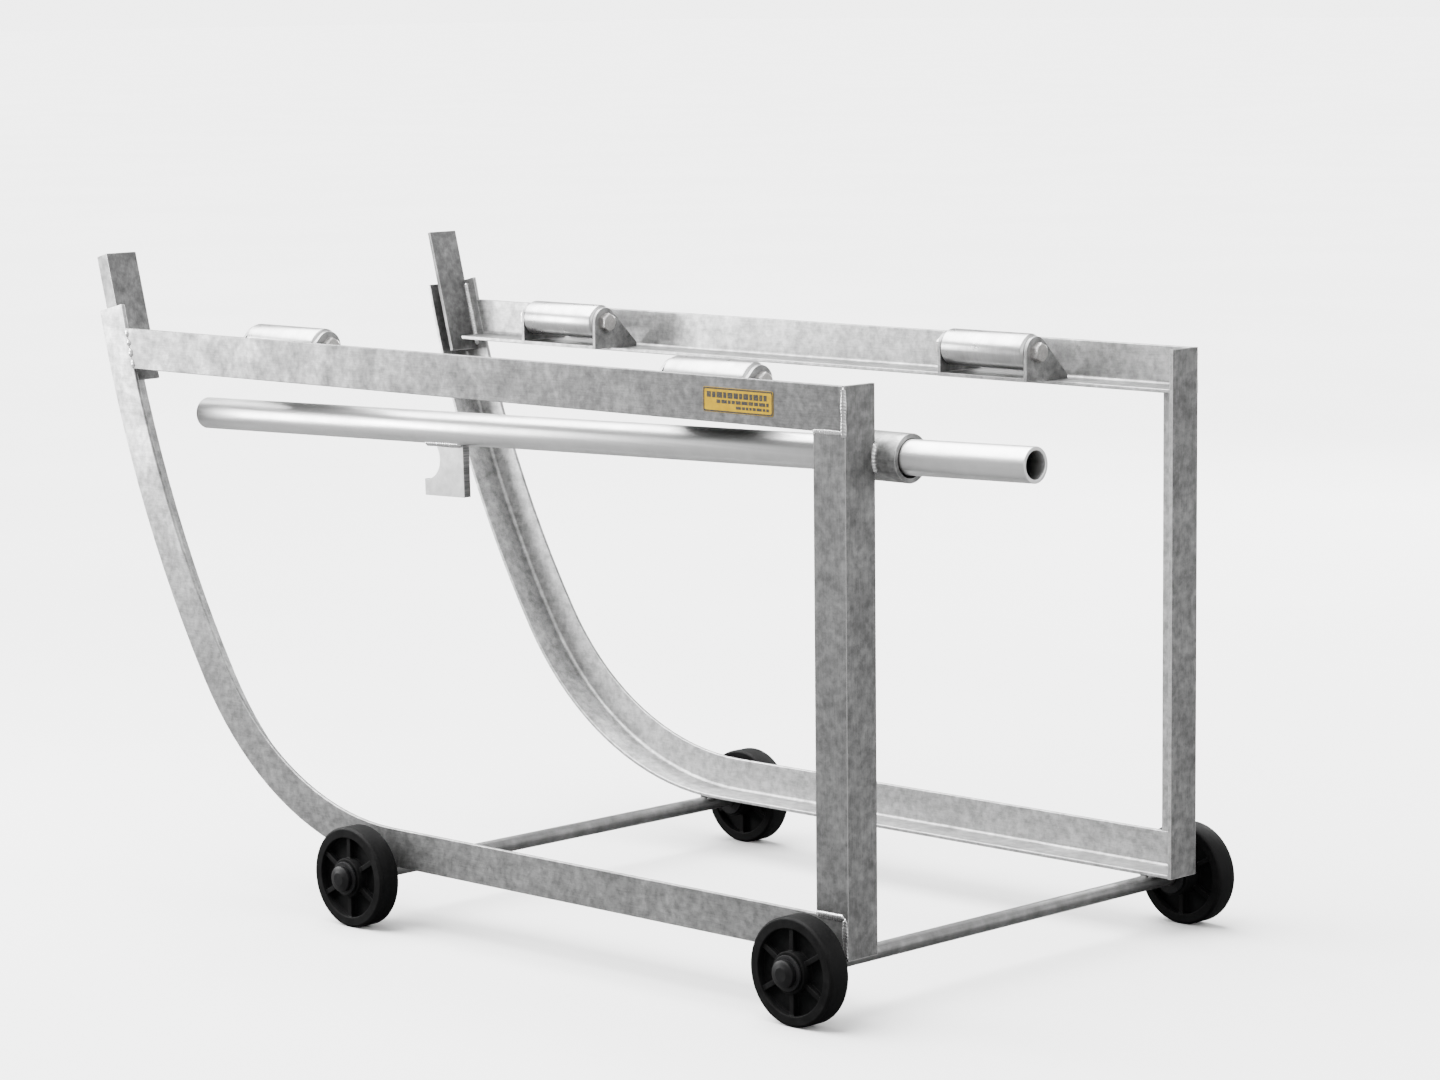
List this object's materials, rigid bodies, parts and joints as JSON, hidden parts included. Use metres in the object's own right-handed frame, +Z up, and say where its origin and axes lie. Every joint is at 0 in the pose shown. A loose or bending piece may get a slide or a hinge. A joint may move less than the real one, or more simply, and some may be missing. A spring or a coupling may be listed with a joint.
{
  "type": "drum dolly",
  "caption": "Tilting drum cradle: angle-iron side frames with curved toes on rod axles and wheels, drum rollers, toe stops and a stored pipe lever with a rim hook.",
  "frame": {"origin": "on the floor under the middle of the whole object", "axes": "+X along the side frames towards the upright posts, where the lever is held; +Y to the right-hand side; +Z up"},
  "size_m": [1.0204, 0.4998, 0.5346],
  "materials": {
    "zinc_steel": "mottled zinc plate, dull",
    "axle_steel": "plain zinc-plated rod",
    "wheel_black": "black moulded wheel, matt",
    "bushing_nylon": "dark moulded nylon",
    "cap_black": "black push-on cap",
    "roller_steel": "bright turned steel",
    "fastener_zinc": "bright zinc plate",
    "bright_tube": "bright zinc-plated pipe",
    "bright_plate": "zinc-plated plate, flame cut edges",
    "label_yellow": "yellow label with a black border, no lettering"
  },
  "bodies": {
    "frame": {"left_runner": "zinc_steel", "left_top_rail": "zinc_steel", "left_post": "zinc_steel", "left_drum_stop": "zinc_steel", "right_runner": "zinc_steel", "right_top_rail": "zinc_steel", "right_post": "zinc_steel", "right_drum_stop": "zinc_steel", "front_axle": "axle_steel", "rear_axle": "axle_steel", "left_front_roller_bracket": "zinc_steel", "left_rear_roller_bracket": "zinc_steel", "right_front_roller_bracket": "zinc_steel", "right_rear_roller_bracket": "zinc_steel", "axle_washers": "bushing_nylon", "axle_caps": "cap_black", "roller_bolts": "fastener_zinc", "roller_nuts": "fastener_zinc", "lever_sleeve": "zinc_steel", "rating_label": "label_yellow"},
    "left_front_wheel": {"left_front_wheel": "wheel_black", "left_front_wheel_bushing": "bushing_nylon"},
    "left_rear_wheel": {"left_rear_wheel": "wheel_black", "left_rear_wheel_bushing": "bushing_nylon"},
    "right_front_wheel": {"right_front_wheel": "wheel_black", "right_front_wheel_bushing": "bushing_nylon"},
    "right_rear_wheel": {"right_rear_wheel": "wheel_black", "right_rear_wheel_bushing": "bushing_nylon"},
    "left_front_roller": {"left_front_roller": "roller_steel"},
    "left_rear_roller": {"left_rear_roller": "roller_steel"},
    "right_front_roller": {"right_front_roller": "roller_steel"},
    "right_rear_roller": {"right_rear_roller": "roller_steel"},
    "lever": {"lever_tube": "bright_tube", "lever_hook_plate": "bright_plate"}
  },
  "joints": [
    {"name": "left_front_wheel_spin", "type": "hinge", "parent": "frame", "child": "left_front_wheel", "pos_m": [-0.1511, -0.2297, 0.04125], "axis": [0, 1, 0], "continuous": true},
    {"name": "left_rear_wheel_spin", "type": "hinge", "parent": "frame", "child": "left_rear_wheel", "pos_m": [0.3449, -0.2297, 0.04125], "axis": [0, 1, 0], "continuous": true},
    {"name": "right_front_wheel_spin", "type": "hinge", "parent": "frame", "child": "right_front_wheel", "pos_m": [-0.1511, 0.2297, 0.04125], "axis": [0, 1, 0], "continuous": true},
    {"name": "right_rear_wheel_spin", "type": "hinge", "parent": "frame", "child": "right_rear_wheel", "pos_m": [0.3449, 0.2297, 0.04125], "axis": [0, 1, 0], "continuous": true},
    {"name": "left_front_roller_spin", "type": "hinge", "parent": "frame", "child": "left_front_roller", "pos_m": [-0.3011, -0.16, 0.46375], "axis": [1, 0, 0], "continuous": true},
    {"name": "left_rear_roller_spin", "type": "hinge", "parent": "frame", "child": "left_rear_roller", "pos_m": [0.1969, -0.16, 0.46375], "axis": [1, 0, 0], "continuous": true},
    {"name": "right_front_roller_spin", "type": "hinge", "parent": "frame", "child": "right_front_roller", "pos_m": [-0.3011, 0.16, 0.46375], "axis": [1, 0, 0], "continuous": true},
    {"name": "right_rear_roller_spin", "type": "hinge", "parent": "frame", "child": "right_rear_roller", "pos_m": [0.1969, 0.16, 0.46375], "axis": [1, 0, 0], "continuous": true},
    {"name": "lever_slide", "type": "slide", "parent": "frame", "child": "lever", "axis": [0.9997, 0, 0.0239], "range_m": [-0.11, 0.38]}
  ]
}
